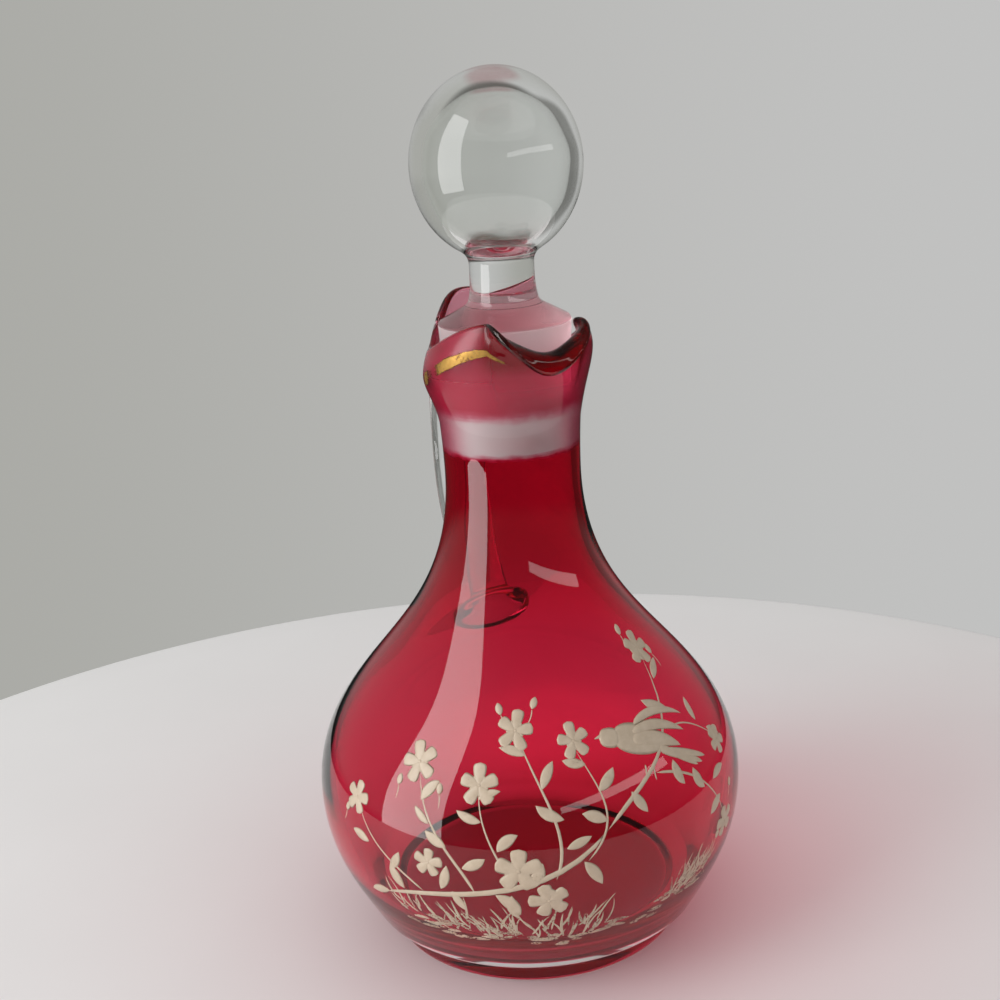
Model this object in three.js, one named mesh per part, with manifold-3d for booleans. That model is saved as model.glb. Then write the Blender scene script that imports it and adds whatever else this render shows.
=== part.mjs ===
// Blown ruby glass decanter with a trefoil mouth, an applied clear handle and a hollow ball stopper.
// Millimetres, +Z up. The origin is the middle of the flat base. The pouring lip faces -Y.
import * as THREE from 'three';
import { mergeVertices } from 'three/addons/utils/BufferGeometryUtils.js';
import Module from 'manifold-3d';

const wasm = await Module();
wasm.setup();

// Foot and body
const footRadius = 41.8;
const footHeight = 6;
const footFlare = 0.5; // how much wider the foot is at its top
const footEdge = 1.6; // rounding of the foot's lower edge
const stepHeight = 2.8; // from the top of the foot to the lower edge of the body
const stepHollow = 0.55; // share of the step's width that is reached by its middle height
const bodyEdgeRadius = 47.9;
const bodyEdgeLean = 5.9; // the body's outline leaves its lower edge by this much outwards
const bodyEdgeLift = 11.2; // and by this much upwards
const bellyRadius = 59.2;
const bellyHeight = 42.7; // height of the widest circle
const bellyFullBelow = 14.3; // pull of the outline below the widest circle
const bellyFullAbove = 35; // pull of the outline above it
const shoulderPull = 47; // pull of the outline below the waist of the neck
const floorThickness = 9;
const floorRadius = 30;
const floorEase = 15; // pull of the inner outline where the floor turns up into the wall
const innerFullBelow = 20; // pull of the inner outline below the widest circle
const bellyWall = 3.1;
const neckWall = 2.5;

// Neck, its ground seat and the mouth
const waistHeight = 131.4; // height of the narrowest circle of the neck
const seatRadius = 15.7; // bore at the bottom of the ground seat
const seatTaper = 0.06; // radius gained for each millimetre of height
const mouthSlope = 0.17; // the same, where the wall leaves the seat for the mouth
const seatLength = 7.6;
const belowSeat = 7; // from the waist up to the seat
const neckFlare = 0.55; // how much the outside widens along the seat
const spoutTurn = -1; // degrees by which the pouring lip missed -Y when it was pulled
const spoutHalfAngle = 38; // degrees from the middle of the pouring lip to the crests beside it
const sideDipAngle = 121; // degrees from there to the middle of the side dips
const mouthLean = 1.25; // how much higher the rim is on the -X side, and lower on the other
const spoutPower = 1.5; // below 1 makes a dip wide and above 1 narrow
const sidePower = 0.8;
const backPower = 2;
const rollPower = 0.27; // the same for how soon the lip rolls over beside the crests
const rollLength = 4.8; // the last part of the wall, which bends evenly, before a straight tail
const wallStraight = 0.5; // share of the wall's height over which it stays nearly straight
// Where that bend begins, out and up from the top of the seat, and the wall's degrees from upright before
// and after it. Pull sets how straight the wall runs into the bend.
const spoutEnd = { reach: 3.7, rise: 18, lean: 8, tilt: 180, pull: 3.3, tail: 1.6 };
const crestEnd = { reach: 4, rise: 21.1, lean: 6, tilt: -27, pull: 4, tail: 0.6 };
const sideEnd = { reach: 3.35, rise: 11.8, lean: -8, tilt: -20, pull: 4, tail: 0.3 };
const backEnd = { reach: 2.3, rise: 25.5, lean: -4, tilt: -12, pull: 7, tail: 0.6 };

// Handle
const fingerGap = 27.8; // between the waist of the neck and the strap
const strapWidth = 14.4;
const strapThickness = 6.4;
const rootWidth = 17; // at the neck
const rootThickness = 7.4;
const rootRise = 14; // centre of the upper root, above the seat
const legDrop = 20; // where the strap runs straight down, below the seat's top
const archFull = 27; // pull of the arch above that place
const rootTurn = 2; // degrees round the axis from +Y towards +X
const strapTurn = 8.5;
const padTurn = 14;
const padDrop = 54.4; // centre of the lower pad, below the waist
const padWidth = 25;
const padLength = 28;
const padFlare = 3.6; // distance over which the strap widens into the pad
const jointGap = 0.3; // between touching pieces

// Stopper
const plugLength = 33.4;
const collarRise = 4; // sloping shoulder on top of the plug
const collarRadius = 10.3;
const stemRadius = 8.4;
const stemLength = 13.1; // from the collar to the middle of the ball's foot
const ballRadius = 22;
const ballHalfHeight = 24;
const ballWall = 3.2;
const ballCrown = 4.6; // thickness of the top of the ball
const throatRadius = 3;
const plugWall = 6.5;
const plugEdge = 0.8; // bevel at both ends of the plug
const plugHollow = 27; // depth of the hollow in the plug
const stemFillet = 2; // where the stem meets the ball
const stemFlare = 5; // height over which the stem widens into the collar

// Smoothness
const aroundVessel = 72;
const aroundStopper = 36;
const aroundStrap = 18;
const wallSteps = 5;
const rollSteps = 6;

const seatBottom = waistHeight + belowSeat;
const seatTop = seatBottom + seatLength;
const seatTopRadius = seatRadius + seatTaper * seatLength;
const waistRadius = seatRadius + neckWall;
const neckTopRadius = waistRadius + neckFlare;
const radians = THREE.MathUtils.degToRad;
const mix = THREE.MathUtils.lerp;
const point = (r, z) => new THREE.Vector2(r, z);

// Points of a curve with the unit normal that lies on its right-hand side
function walk(curve, steps) {
  return Array.from({ length: steps + 1 }, (_, i) => {
    const tangent = curve.getTangent(i / steps);
    return { at: curve.getPoint(i / steps), normal: point(tangent.y, -tangent.x) };
  });
}

const lowerBody = new THREE.CubicBezierCurve(
  point(bodyEdgeRadius, footHeight + stepHeight),
  point(bodyEdgeRadius + bodyEdgeLean, footHeight + stepHeight + bodyEdgeLift),
  point(bellyRadius, bellyHeight - bellyFullBelow),
  point(bellyRadius, bellyHeight),
);
const shoulder = new THREE.CubicBezierCurve(
  point(bellyRadius, bellyHeight),
  point(bellyRadius, bellyHeight + bellyFullAbove),
  point(waistRadius, waistHeight - shoulderPull),
  point(waistRadius, waistHeight),
);
const innerBelly = new THREE.CubicBezierCurve(
  point(bellyRadius - bellyWall, bellyHeight),
  point(bellyRadius - bellyWall, bellyHeight - innerFullBelow),
  point(floorRadius + floorEase, floorThickness),
  point(floorRadius, floorThickness),
);

// The mouth waves as it goes round. Its crests lean in, its side dips stand up and the pouring lip rolls over.
function mouthAt(turn) {
  const spout = radians(spoutHalfAngle);
  const side = radians(sideDipAngle);
  const place = turn - radians(spoutTurn);
  const away = Math.abs(Math.atan2(Math.sin(place), Math.cos(place)));
  let phase = away / spout;
  if (away > spout) phase = 1 + (away - spout) / (side - spout);
  if (away > side) phase = 2 + (away - side) / (Math.PI - side);
  let power = away > side ? backPower : sidePower;
  if (away < spout) power = spoutPower;
  const dip = ((1 + Math.cos(Math.PI * phase)) / 2) ** power;
  const low = away < spout ? spoutEnd : sideEnd;
  const high = away > side ? backEnd : crestEnd;
  const wave = (name, share = dip) => mix(high[name], low[name], share);
  return {
    reach: wave('reach'),
    rise: wave('rise') - mouthLean * Math.sin(place),
    lean: radians(wave('lean')),
    tilt: radians(wave('tilt', away < spout ? dip ** rollPower : dip)),
    pull: wave('pull'),
    tail: wave('tail'),
  };
}

// The middle of the wall from the top of the seat to the edge of the mouth, at one turn
function mouthLine(turn) {
  const { reach, rise, lean, tilt, pull, tail } = mouthAt(turn);
  const start = point((neckTopRadius + seatTopRadius) / 2, seatTop);
  const place = point(start.x + reach, seatTop + rise);
  const leave = wallStraight * rise;
  const wall = new THREE.CubicBezierCurve(
    start,
    point(start.x + mouthSlope * leave, seatTop + leave),
    point(place.x - pull * Math.sin(lean), place.y - pull * Math.cos(lean)),
    place.clone(),
  );
  const line = walk(wall, wallSteps);
  const bend = (tilt - lean) / rollSteps;
  for (let i = 1; i <= rollSteps + 1; i += 1) {
    const length = i > rollSteps ? tail : rollLength / rollSteps;
    const heading = i > rollSteps ? tilt : lean + (i - 0.5) * bend;
    place.add(point(length * Math.sin(heading), length * Math.cos(heading)));
    const facing = i > rollSteps ? tilt : lean + i * bend;
    line.push({ at: place.clone(), normal: point(Math.cos(facing), -Math.sin(facing)) });
  }
  return line;
}

// The outside of the vessel at one turn, from the base to the mouth, moved outwards by grow
function outsideAt(turn, grow) {
  const line = [point(footRadius - footEdge, -grow)];
  for (const angle of [45, 90]) {
    const a = radians(angle);
    const reach = footEdge + grow;
    line.push(point(footRadius - footEdge + reach * Math.sin(a), footEdge - reach * Math.cos(a)));
  }
  line.push(point(footRadius + footFlare + grow, footHeight));
  line.push(point(mix(footRadius, bodyEdgeRadius, stepHollow) + grow, footHeight + stepHeight / 2));
  const push = (step) => line.push(step.at.clone().addScaledVector(step.normal, grow));
  walk(lowerBody, 5).forEach(push);
  walk(shoulder, 11).slice(1).forEach(push);
  line.push(point(mix(waistRadius, neckTopRadius, 0.2) + grow, seatBottom));
  const half = (neckTopRadius - seatTopRadius) / 2;
  mouthLine(turn).forEach(({ at, normal }) => {
    line.push(at.clone().addScaledVector(normal, half + grow));
  });
  return line;
}

// The rounded edge of the mouth and the inside down to the floor
function insideAt(turn) {
  const half = (neckTopRadius - seatTopRadius) / 2;
  const mouth = mouthLine(turn).reverse();
  const line = [45, 90, 135].map((angle) => {
    const { at, normal } = mouth[0];
    const ahead = point(-normal.y, normal.x);
    const a = radians(angle);
    return at.clone().addScaledVector(normal, half * Math.cos(a)).addScaledVector(ahead, half * Math.sin(a));
  });
  mouth.forEach(({ at, normal }) => line.push(at.clone().addScaledVector(normal, -half)));
  line.push(point(seatRadius, seatBottom));
  const steps = walk(shoulder, 11).reverse();
  steps.forEach(({ at, normal }, i) => {
    line.push(at.clone().addScaledVector(normal, -mix(neckWall, bellyWall, i / 11)));
  });
  walk(innerBelly, 6).slice(1).forEach(({ at }) => line.push(at));
  return line;
}

// A closed surface through one outline for each turn, with its ends on the axis
function wrap(outlineAt, around, bottom, top) {
  const positions = [0, 0, bottom];
  const index = [];
  const rings = outlineAt(0).length;
  for (let j = 0; j < around; j += 1) {
    const turn = (2 * Math.PI * j) / around;
    for (const { x, y } of outlineAt(turn)) positions.push(x * Math.sin(turn), -x * Math.cos(turn), y);
  }
  const last = positions.length / 3;
  positions.push(0, 0, top);
  const id = (j, i) => 1 + (j % around) * rings + i;
  for (let j = 0; j < around; j += 1) {
    index.push(0, id(j + 1, 0), id(j, 0));
    for (let i = 0; i < rings - 1; i += 1) {
      index.push(id(j, i), id(j + 1, i), id(j, i + 1));
      index.push(id(j + 1, i), id(j + 1, i + 1), id(j, i + 1));
    }
    index.push(id(j, rings - 1), id(j + 1, rings - 1), last);
  }
  const geometry = new THREE.BufferGeometry();
  geometry.setAttribute('position', new THREE.Float32BufferAttribute(positions, 3));
  geometry.setIndex(index);
  return geometry;
}

const vesselShape = wrap((turn) => [...outsideAt(turn, 0), ...insideAt(turn)], aroundVessel, 0, floorThickness);

// The handle runs out from the neck, down and in to its pad on the shoulder
function curveAtHeight(curve, height) {
  let low = 0;
  let high = 1;
  for (let i = 0; i < 40; i += 1) {
    const middle = (low + high) / 2;
    if (curve.getPoint(middle).y < height) low = middle;
    else high = middle;
  }
  return low;
}

const padPlace = curveAtHeight(shoulder, waistHeight - padDrop);
const padCentre = shoulder.getPoint(padPlace);
const padTangent = shoulder.getTangent(padPlace);
const padNormal = point(padTangent.y, -padTangent.x);
const reach = waistRadius + fingerGap + strapThickness / 2;
const rootHeight = seatTop + rootRise;
const legTop = seatTop - legDrop;
const upperArch = new THREE.CubicBezierCurve(
  point(seatRadius - strapThickness, rootHeight - 1),
  point(seatRadius + 0.62 * fingerGap, rootHeight + 4),
  point(reach, legTop + archFull),
  point(reach, legTop),
);
const legLength = legTop - padCentre.y;
const lowerLeg = new THREE.CubicBezierCurve(
  point(reach, legTop),
  point(reach, legTop - 0.5 * legLength),
  padCentre.clone().addScaledVector(padNormal, 0.25 * legLength),
  padCentre.clone().addScaledVector(padNormal, -strapThickness / 2),
);

// A strap of changing oval section along the two curves, turning a little round the axis as it goes
function strapShape(archSteps, legSteps) {
  const path = [];
  const add = (curve, steps, from, to, first) => {
    for (let i = first; i <= steps; i += 1) {
      const t = i / steps;
      const flat = curve.getPoint(t);
      const turn = radians(mix(from, to, THREE.MathUtils.smoothstep(t, 0, 1)));
      path.push(new THREE.Vector3(flat.x * Math.sin(turn), flat.x * Math.cos(turn), flat.y));
    }
  };
  add(upperArch, archSteps, rootTurn, strapTurn, 0);
  add(lowerLeg, legSteps, strapTurn, padTurn, 1);
  const count = path.length;
  const padTurned = radians(padTurn);
  const pad = new THREE.Vector3(padCentre.x * Math.sin(padTurned), padCentre.x * Math.cos(padTurned), padCentre.y);
  const positions = [];
  path.forEach((place, i) => {
    const ahead = path[Math.min(i + 1, count - 1)].clone().sub(path[Math.max(i - 1, 0)]).normalize();
    const side = new THREE.Vector3(place.y, -place.x, 0).normalize();
    side.addScaledVector(ahead, -side.dot(ahead)).normalize();
    const over = new THREE.Vector3().crossVectors(ahead, side);
    const nearPad = i > archSteps ? Math.exp(-place.distanceTo(pad) / padFlare) : 0;
    const nearRoot = THREE.MathUtils.smoothstep(1 - i / archSteps, 0, 1);
    const spread = i === count - 1 ? 1 : nearPad;
    const wide = strapWidth + (rootWidth - strapWidth) * nearRoot + (padWidth - strapWidth) * spread;
    const thick = strapThickness + (rootThickness - strapThickness) * nearRoot
      + (padLength - strapThickness) * spread;
    for (let k = 0; k < aroundStrap; k += 1) {
      const a = (2 * Math.PI * k) / aroundStrap;
      const edge = place.clone().addScaledVector(side, (wide / 2) * Math.cos(a));
      positions.push(...edge.addScaledVector(over, (thick / 2) * Math.sin(a)).toArray());
    }
  });
  positions.push(...path[0].toArray(), ...path[count - 1].toArray());
  const index = [];
  const id = (i, k) => i * aroundStrap + (k % aroundStrap);
  const firstCap = count * aroundStrap;
  for (let k = 0; k < aroundStrap; k += 1) {
    index.push(firstCap, id(0, k + 1), id(0, k));
    for (let i = 0; i < count - 1; i += 1) {
      index.push(id(i, k), id(i, k + 1), id(i + 1, k));
      index.push(id(i, k + 1), id(i + 1, k + 1), id(i + 1, k));
    }
    index.push(firstCap + 1, id(count - 1, k), id(count - 1, k + 1));
  }
  const geometry = new THREE.BufferGeometry();
  geometry.setAttribute('position', new THREE.Float32BufferAttribute(positions, 3));
  geometry.setIndex(index);
  return geometry;
}

function solidOf(geometry) {
  const bare = geometry.clone();
  bare.deleteAttribute('normal');
  bare.deleteAttribute('uv');
  const merged = mergeVertices(bare, 1e-4);
  return new wasm.Manifold(new wasm.Mesh({
    numProp: 3,
    vertProperties: new Float32Array(merged.attributes.position.array),
    triVerts: new Uint32Array(merged.index.array),
  }));
}

function geometryOf(solid) {
  const mesh = solid.getMesh();
  const geometry = new THREE.BufferGeometry();
  geometry.setAttribute('position', new THREE.BufferAttribute(mesh.vertProperties, 3));
  geometry.setIndex(new THREE.BufferAttribute(mesh.triVerts, 1));
  return geometry;
}

const filledTop = seatTop + 2 * crestEnd.rise; // well above the rolled lip
const vesselFilled = wrap((turn) => outsideAt(turn, jointGap), aroundVessel, -jointGap, filledTop);
const handleShape = geometryOf(solidOf(strapShape(14, 20)).subtract(solidOf(vesselFilled)));

// The stopper is turned round the axis: a ground plug, a sloping collar, a stem and a hollow ball
const plugTopRadius = seatRadius - jointGap + seatTaper * plugLength;
const plugTop = seatBottom + plugLength;
const collarTop = plugTop + collarRise;
const ballFoot = collarTop + stemLength;
const ballFootAngle = Math.asin(stemRadius / ballRadius);
const ballCentre = ballFoot + ballHalfHeight * Math.cos(ballFootAngle);
const hollowRadius = ballRadius - ballWall;
const hollowTop = ballHalfHeight - ballCrown;
const hollowFoot = ballHalfHeight - ballWall;
const throatAngle = Math.asin(throatRadius / hollowRadius);

function stopperOutline() {
  const plugBottomRadius = seatRadius - jointGap;
  const line = [
    point(plugBottomRadius - plugWall, seatBottom),
    point(plugBottomRadius - plugEdge, seatBottom),
    point(plugBottomRadius, seatBottom + plugEdge),
    point(plugTopRadius, plugTop - plugEdge),
    point(plugTopRadius - plugEdge, plugTop),
    point(collarRadius, collarTop),
    point(mix(stemRadius, collarRadius, 0.55), collarTop + 0.1 * stemFlare),
    point(mix(stemRadius, collarRadius, 0.2), collarTop + 0.4 * stemFlare),
    point(stemRadius, collarTop + stemFlare),
    point(stemRadius, ballFoot - stemFillet),
    point(mix(stemRadius, collarRadius, 0.3), ballFoot - stemFillet / 3),
  ];
  const outer = 14;
  for (let i = 0; i <= outer; i += 1) {
    const a = mix(ballFootAngle * 1.15, Math.PI, i / outer);
    line.push(point(ballRadius * Math.sin(a), ballCentre - ballHalfHeight * Math.cos(a)));
  }
  const inner = 12;
  for (let i = 0; i <= inner; i += 1) {
    const a = mix(Math.PI, throatAngle, i / inner);
    const high = Math.cos(a) < 0 ? hollowTop : hollowFoot;
    line.push(point(hollowRadius * Math.sin(a), ballCentre - high * Math.cos(a)));
  }
  line.push(point(throatRadius, collarTop));
  line.push(point(mix(throatRadius, plugBottomRadius - plugWall, 0.8), seatBottom + plugHollow));
  line.push(line[0].clone());
  line.forEach((p) => { if (Math.abs(p.x) < 1e-6) p.x = 0; });
  return line;
}

const stopperShape = new THREE.LatheGeometry(stopperOutline(), aroundStopper);
stopperShape.rotateX(Math.PI / 2);

// Glass colours
const rubyGlass = new THREE.MeshStandardMaterial({ color: 0xa8102c, roughness: 0.05, metalness: 0 });
const clearGlass = new THREE.MeshStandardMaterial({ color: 0xd8ddd8, roughness: 0.04, metalness: 0 });
const stopperGlass = new THREE.MeshStandardMaterial({ color: 0xdfe3df, roughness: 0.04, metalness: 0 });
for (const glass of [rubyGlass, clearGlass, stopperGlass]) {
  glass.transparent = true;
  glass.opacity = 0.5;
}

function piece(name, geometry, material) {
  const mesh = new THREE.Mesh(geometry, material);
  mesh.name = name;
  return mesh;
}

const decanter = new THREE.Group();
decanter.add(piece('vessel', vesselShape, rubyGlass));
decanter.add(piece('handle', handleShape, clearGlass));
decanter.add(piece('stopper', stopperShape, stopperGlass));

export default decanter;
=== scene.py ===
"""Blown ruby glass decanter: the looks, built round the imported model.

Shapes are worked out in millimetres, with +Z up and the pouring lip towards -Y, and go into their meshes in
metres. A turn is an angle round the neck's axis, measured from -Y towards +X. A line of the glass is a row
of points, each with its radius and height.
"""

import math

import bpy
import numpy as np
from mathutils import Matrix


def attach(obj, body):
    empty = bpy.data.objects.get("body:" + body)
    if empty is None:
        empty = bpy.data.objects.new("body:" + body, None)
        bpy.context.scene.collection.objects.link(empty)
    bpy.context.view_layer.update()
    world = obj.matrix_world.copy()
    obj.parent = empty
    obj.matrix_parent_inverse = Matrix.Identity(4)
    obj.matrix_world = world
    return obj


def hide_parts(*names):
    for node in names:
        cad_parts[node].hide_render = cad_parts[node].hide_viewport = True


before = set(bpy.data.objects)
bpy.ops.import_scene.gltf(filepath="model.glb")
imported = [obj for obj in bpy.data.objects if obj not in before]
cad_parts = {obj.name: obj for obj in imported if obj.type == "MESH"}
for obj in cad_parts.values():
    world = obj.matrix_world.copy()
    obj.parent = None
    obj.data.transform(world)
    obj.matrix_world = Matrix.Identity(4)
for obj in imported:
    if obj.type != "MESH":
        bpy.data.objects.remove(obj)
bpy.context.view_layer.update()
MM = 0.001  # in metres

# Sizes are in millimetres, and angles in degrees. They are the solids' sizes, but the strap of the handle
# is a little narrower and less turned, its pad has a rounder border, and a recess stands for the plug's
# deep hollow.

# Foot and body
foot_radius = 41.8
foot_height = 6
foot_flare = 0.5  # how much wider the foot is at its top
foot_edge = 1.6  # rounding of the foot's lower edge
foot_top_edge = 1.1
step_height = 2.8  # from the top of the foot to the lower edge of the body
step_hollow = 0.55  # share of the step's width that is reached by its middle height
step_ease = 1.3  # rounding of the step's hollow
body_edge = 47.9  # radius of the body's lower edge
body_edge_ease = 0.9
edge_share = 0.12  # share of the body's lower curve that is drawn straight, next to its edge
body_lean = 5.9  # the body's outline leaves its lower edge by this much outwards
body_lift = 11.2  # and by this much upwards
belly = 59.2  # radius of the widest circle
belly_height = 42.7
full_below = 14.3  # pull of the outline below the widest circle
full_above = 35  # pull of the outline above it
shoulder_pull = 47  # pull of the outline below the waist of the neck
floor_height = 9
floor_radius = 30
floor_ease = 15  # pull of the inner outline where the floor turns up into the wall
inner_full = 20  # pull of the inner outline below the widest circle
belly_wall = 3.1
neck_wall = 2.5
swell_depth = 0.16  # how far the hand-blown inside strays from round
pole = 1.5  # radius at which the base and the floor go over into one flat fan

# Neck, its ground seat and the mouth
waist_height = 131.4  # height of the narrowest circle of the neck
seat_radius = 15.7  # bore at the bottom of the ground seat
seat_taper = 0.06  # radius gained for each millimetre of height
mouth_slope = 0.17  # the same, where the wall leaves the seat for the mouth
seat_length = 7.6
below_seat = 7  # from the waist up to the seat
neck_flare = 0.55  # how much the outside widens along the seat
spout_turn = -1  # by which the pouring lip missed -Y when it was pulled
spout_half = 38  # from the middle of the pouring lip to the crests beside it
side_dip = 121  # and to the middle of the side dips
mouth_lean = 1.25  # how much higher the rim is on the -X side, and lower on the other
spout_power = 1.5  # below 1 makes a dip wide and above 1 narrow
side_power = 0.8
back_power = 2
roll_power = 0.27  # the same for how soon the lip rolls over beside the crests
roll_length = 4.8  # the last part of the wall, which bends evenly, before a straight tail
wall_straight = 0.5  # share of the wall's height over which it stays nearly straight
# Where that bend begins, out and up from the seat, and the wall's degrees from upright before and after it
spout_end = {"reach": 3.7, "rise": 18, "lean": 8, "tilt": 180, "pull": 3.3, "tail": 1.6}
crest_end = {"reach": 4, "rise": 21.1, "lean": 6, "tilt": -27, "pull": 4, "tail": 0.6}
side_end = {"reach": 3.35, "rise": 11.8, "lean": -8, "tilt": -20, "pull": 4, "tail": 0.3}
back_end = {"reach": 2.3, "rise": 25.5, "lean": -4, "tilt": -12, "pull": 7, "tail": 0.6}

# Handle
finger_gap = 27.8  # between the waist of the neck and the strap
strap_width = 13.2
strap_thick = 6.4
root_width = 17  # at the neck
root_thick = 7.4
root_rise = 14  # centre of the upper root, above the seat
root_dip = 1  # how far below that centre the strap's middle line starts
arch_reach = 0.62  # share of the finger gap that the pull of the arch's start reaches over
arch_lift = 4  # and how far above the root's centre it goes
arch_full = 27  # pull of the arch above its end
leg_drop = 20  # where the strap runs straight down, below the seat's top
leg_full = 0.5  # share of the leg's height by which it is pulled straight down
leg_run_in = 0.25  # and by which it is pulled along the pad's normal
root_turn = 2  # round the axis from +Y towards +X
strap_turn = 6.4
pad_turn = 14
pad_drop = 54.4  # centre of the lower pad, below the waist
pad_width = 25
pad_length = 28
pad_flare = 3.2  # distance over which the strap widens into the pad
weld_gap = 0.03  # between the handle's ends and the outside of the flask
joint_gap = 0.3  # between the plug and its seat

# Stopper
plug_length = 33.4
plug_wall = 6.5
plug_edge = 0.8  # bevel at both ends of the plug
plug_hollow = 7  # depth of the recess in the plug
throat = 3  # radius towards which the recess narrows
collar_rise = 4  # sloping shoulder on top of the plug
collar_radius = 10.3
stem_radius = 8.4
stem_length = 13.1  # from the collar to the middle of the ball's foot
stem_fillet = 2  # where the stem meets the ball
stem_flare = 5  # height over which the stem widens into the collar
ball_radius = 22
ball_half = 24  # half its height
ball_wall = 3.2
ball_crown = 4.6  # thickness of the top of the ball
near_axis = 0.02  # the lines of the ball end at this angle off the axis, in radians

# Smoothness
around_flask = 256
around_stopper = 192
around_strap = 64
mouth_steps = 19  # along the mouth's straight wall, and again along its bend
shoulder_steps = 70
strap_rows = 150

seat_bottom = waist_height + below_seat
seat_top = seat_bottom + seat_length
seat_top_radius = seat_radius + seat_taper * seat_length
waist = seat_radius + neck_wall
neck_top = waist + neck_flare
half_wall = (neck_top - seat_top_radius) / 2
body_foot = foot_height + step_height
plug_top = seat_bottom + plug_length
collar_level = plug_top + collar_rise
FULL_TURN = 2 * math.pi


# Lines and surfaces
def between(a, b, share):
    """The value at share of the way from a to b."""
    return a + (b - a) * share


def eased(x):
    """A step from 0 to 1 that starts and ends level: x squared times 3 minus 2 x."""
    x = np.clip(x, 0, 1)
    return x * x * (3 - 2 * x)


def unit(vectors):
    """The vectors, each divided by its length."""
    return vectors / np.linalg.norm(vectors, axis=-1, keepdims=True)


def right_of(along):
    """Unit normals on the right-hand side of directions given as radius and height: (z, -r) / length."""
    along = unit(along)
    return np.stack([along[..., 1], -along[..., 0]], -1)


def cubic(a, b, c, d, t):
    """Points of a cubic curve for every t, (1-t)^3 a + 3 (1-t)^2 t b + 3 (1-t) t^2 c + t^3 d, and its
    direction there, (1-t)^2 (b-a) + 2 (1-t) t (c-b) + t^2 (d-c). The four may be arrays of points; t runs
    along the last axis but one."""
    a, b, c, d = (np.asarray(p, float)[..., None, :] for p in (a, b, c, d))
    t = np.asarray(t, float)[:, None]
    at = (1 - t) ** 3 * a + 3 * (1 - t) ** 2 * t * b + 3 * (1 - t) * t**2 * c + t**3 * d
    return at, (1 - t) ** 2 * (b - a) + 2 * (1 - t) * t * (c - b) + t**2 * (d - c)


def bezier(a, b, c, d, t):
    """Points of a cubic curve for every t, and the unit normals on its right-hand side."""
    at, along = cubic(a, b, c, d, t)
    return at, right_of(along)


def softened(corners, ease, steps=6):
    """A line through corners whose inner corners are rounded: each is swapped for the quadratic curve that
    leaves it by ease along both sides, (1-t)^2 a + 2 (1-t) t corner + t^2 b."""
    corners = np.array(corners, float)
    t = np.linspace(0, 1, steps)[:, None]
    line = [corners[:1]]
    for before, corner, after, cut in zip(corners, corners[1:], corners[2:], ease):
        a, b = (corner + unit(side - corner) * cut for side in (before, after))
        line.append((1 - t) ** 2 * a + 2 * (1 - t) * t * corner + t**2 * b)
    return np.concatenate([*line, corners[-1:]])


def run_along(line):
    """The lengths of a line's stretches, and how far along it each of its points lies."""
    gaps = np.linalg.norm(np.diff(line, axis=0), axis=1)
    return gaps, np.concatenate([[0], np.cumsum(gaps)])


def on_line(line, run, distances):
    """The points of a line that lie at these distances along it."""
    return np.stack([np.interp(distances, run, line[:, n]) for n in (0, 1)], -1)


def denser(line, step):
    """The same line with points added, so that no two neighbours are further apart than step."""
    gaps, run = run_along(line)
    counts = np.maximum(1, np.ceil(gaps / step)).astype(int)
    stretches = [np.linspace(run[i], run[i + 1], n + 1)[:-1] for i, n in enumerate(counts)]
    return on_line(line, run, np.concatenate([*stretches, run[-1:]]))


def round_axis(radius, turn, height):
    """Points at these radii, turns and heights: (r sin turn, -r cos turn, z)."""
    return np.stack([radius * np.sin(turn), -radius * np.cos(turn), height], -1)


def turn_of(points):
    """The turn of each point, from 0 to a full turn."""
    return np.mod(np.arctan2(points[..., 0], -points[..., 1]), FULL_TURN)


def turned(lines, turns):
    """Points on lines of radius and height, one for each turn. Rows run along the lines and columns round
    the axis."""
    radius, height = (np.broadcast_to(lines[..., n].T, (lines.shape[1], len(turns))) for n in (0, 1))
    return round_axis(radius, turns, height)


def evenly_round(count):
    return np.linspace(0, FULL_TURN, count, endpoint=False)


def ring_faces(rows, columns):
    """The corners of the faces of a skin whose rows close into rings: quads between the rows, and two fans
    of triangles that close its ends round two more points, which follow the grid's."""
    i, j = np.meshgrid(np.arange(rows - 1), np.arange(columns), indexing="ij")
    k = (j + 1) % columns
    quads = np.stack([i * columns + j, i * columns + k, (i + 1) * columns + k, (i + 1) * columns + j], -1)
    j, k = j[0], k[0]
    middle, last_row = np.full(columns, rows * columns), (rows - 1) * columns
    first = np.stack([middle, k, j], -1)
    last = np.stack([middle + 1, last_row + j, last_row + k], -1)
    return quads.reshape(-1, 4), np.concatenate([first, last])


def new_piece(name, points, quads, fans, marks):
    """A smooth mesh of points in millimetres, as an object in the scene. marks holds one number for each
    point under each name, and becomes attributes that the finishes read."""
    mesh = bpy.data.meshes.new(name)
    mesh.from_pydata((points * MM).tolist(), [], quads.tolist() + fans.tolist())
    for mark, values in marks.items():
        mesh.attributes.new(mark, "FLOAT", "POINT").data.foreach_set("value", values.astype(np.float32))
    mesh.shade_smooth()
    mesh.update()
    made = bpy.data.objects.new(name, mesh)
    bpy.context.scene.collection.objects.link(made)
    return made


def closed_skin(name, grid, marks=None):
    """A mesh through a grid of rows that each close into a ring, with a point in the middle of both end
    rings. Its faces point outwards where columns cross rows as +X crosses +Z on the -Y side. marks holds
    one number for each grid point under each name."""
    rows, columns = grid.shape[:2]
    spread = {}
    for mark, values in (marks or {}).items():
        values = np.broadcast_to(values, (rows, columns))
        spread[mark] = np.concatenate([values.reshape(-1), [values[0].mean(), values[-1].mean()]])
    points = np.concatenate([grid.reshape(-1, 3), [grid[0].mean(0), grid[-1].mean(0)]])
    return new_piece(name, points, *ring_faces(rows, columns), spread)


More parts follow.
